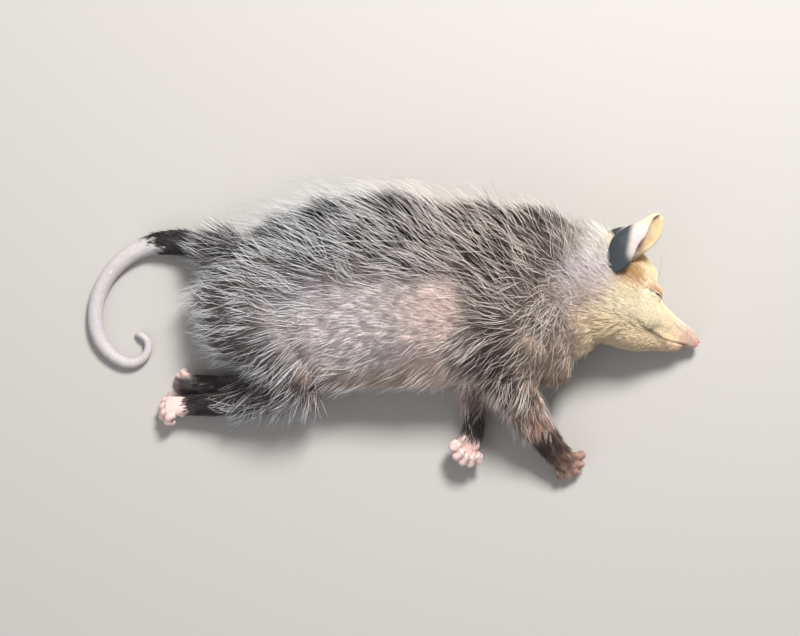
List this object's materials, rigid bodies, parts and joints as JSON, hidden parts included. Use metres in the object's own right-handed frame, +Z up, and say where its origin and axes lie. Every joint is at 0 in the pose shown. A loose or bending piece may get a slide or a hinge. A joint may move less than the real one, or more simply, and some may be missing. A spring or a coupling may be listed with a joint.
{
  "type": "opossum",
  "caption": "Young opossum lying still on its left side, life size, with a long pale snout, thin bare ears, a coarse grey coat, small clawed feet and a curled bare tail.",
  "frame": {"origin": "the middle of the box round the animal, at floor level", "axes": "+X towards the nose, +Y towards the back and +Z up from the floor, so from above the animal's right side shows"},
  "size_m": [0.3268, 0.1514, 0.06],
  "materials": {
    "coat": "coarse fur",
    "dark_coat": "short dark fur",
    "face_coat": "short pale fur",
    "ear_skin": "thin bare skin",
    "foot_skin": "bare skin",
    "tail_skin": "scaly skin",
    "nose_skin": "moist skin",
    "claw": "horn",
    "whisker": "stiff hair",
    "eye": "wet gloss"
  },
  "bodies": {
    "root": {"trunk": "coat", "neck": "coat", "head": "face_coat", "nose": "nose_skin", "eye_right": "eye", "eye_left": "eye", "ear_right": "ear_skin", "ear_left": "ear_skin", "foreleg_right_upper": "coat", "foreleg_right_lower": "dark_coat", "foreleg_right_foot": "foot_skin", "foreleg_left_upper": "coat", "foreleg_left_lower": "dark_coat", "foreleg_left_foot": "foot_skin", "hindleg_right_upper": "coat", "hindleg_right_lower": "dark_coat", "hindleg_right_foot": "foot_skin", "hindleg_left_upper": "coat", "hindleg_left_lower": "dark_coat", "hindleg_left_foot": "foot_skin", "tail_root": "coat", "tail_upper": "tail_skin", "tail_middle": "tail_skin", "tail_lower": "tail_skin", "tail_hook": "tail_skin", "tail_curl": "tail_skin", "tail_tip": "tail_skin"}
  },
  "joints": []
}
